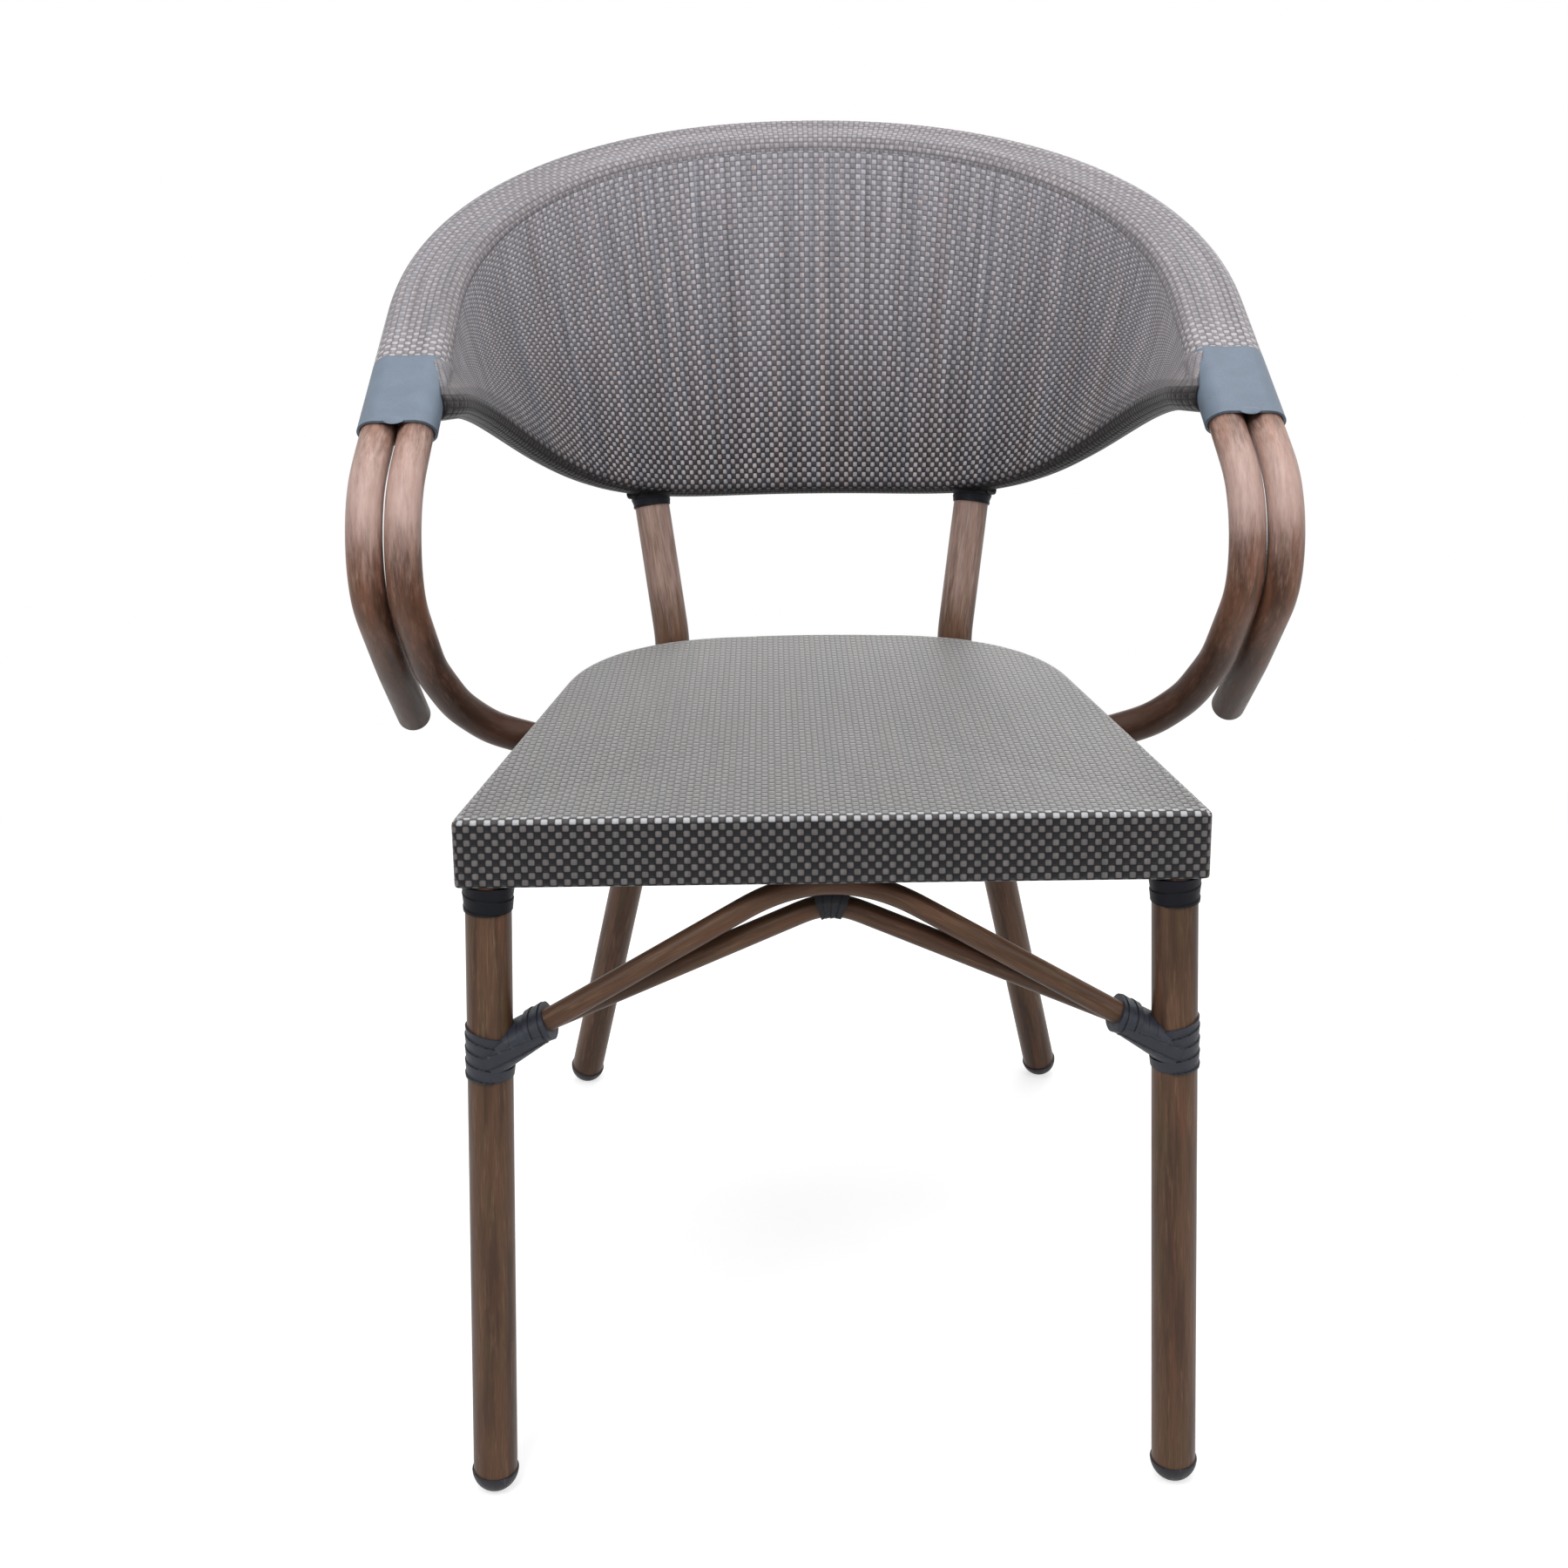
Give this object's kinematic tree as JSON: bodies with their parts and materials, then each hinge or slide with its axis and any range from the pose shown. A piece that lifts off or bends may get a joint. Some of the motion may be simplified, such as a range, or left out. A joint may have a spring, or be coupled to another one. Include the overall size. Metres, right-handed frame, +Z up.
{
  "type": "bistro armchair",
  "caption": "Rattan-look bistro armchair: tub back and seat of stretched mesh on a bent tube frame, with paired arm tubes, tape bindings and a braced front.",
  "frame": {"origin": "on the floor, under the middle of the chair's overall box", "axes": "+Z up, +Y towards the back of the chair, +X to the right for someone facing the chair's front"},
  "size_m": [0.6088, 0.6019, 0.8679],
  "materials": {
    "brown_tube": "satin wood-grain print",
    "tan_tube": "satin wood-grain print",
    "frame_tube": "satin",
    "seat_mesh": "woven mesh, charcoal and grey",
    "back_mesh": "woven mesh, charcoal and grey",
    "rim_mesh": "woven mesh, pale grey",
    "slate_tape": "flat plastic tape",
    "dark_tape": "flat plastic tape",
    "glide_plastic": "matte",
    "strip_plastic": "matte"
  },
  "bodies": {
    "root": {"front_leg_right": "brown_tube", "front_leg_left": "brown_tube", "rear_leg_right": "brown_tube", "rear_leg_left": "brown_tube", "front_glide_right": "glide_plastic", "front_glide_left": "glide_plastic", "rear_glide_right": "glide_plastic", "rear_glide_left": "glide_plastic", "seat_front_rail": "frame_tube", "seat_hoop_rail": "frame_tube", "seat_cover": "seat_mesh", "seat_strip_front": "strip_plastic", "seat_strip_rear": "strip_plastic", "seat_strip_right": "strip_plastic", "seat_strip_left": "strip_plastic", "outer_arm_loop_tube": "tan_tube", "inner_arm_loop_tube": "tan_tube", "arm_end_plug_right": "glide_plastic", "arm_end_plug_left": "glide_plastic", "back_lower_rail": "frame_tube", "back_rim_sleeve": "rim_mesh", "back_panel": "back_mesh", "arm_binding_right": "slate_tape", "arm_binding_left": "slate_tape", "front_arch_brace": "brown_tube", "front_low_brace": "brown_tube", "brace_centre_binding": "dark_tape", "leg_binding_right": "dark_tape", "leg_binding_left": "dark_tape", "leg_top_collar_right": "dark_tape", "leg_top_collar_left": "dark_tape", "upright_wrap_right": "dark_tape", "upright_wrap_left": "dark_tape"}
  },
  "joints": []
}
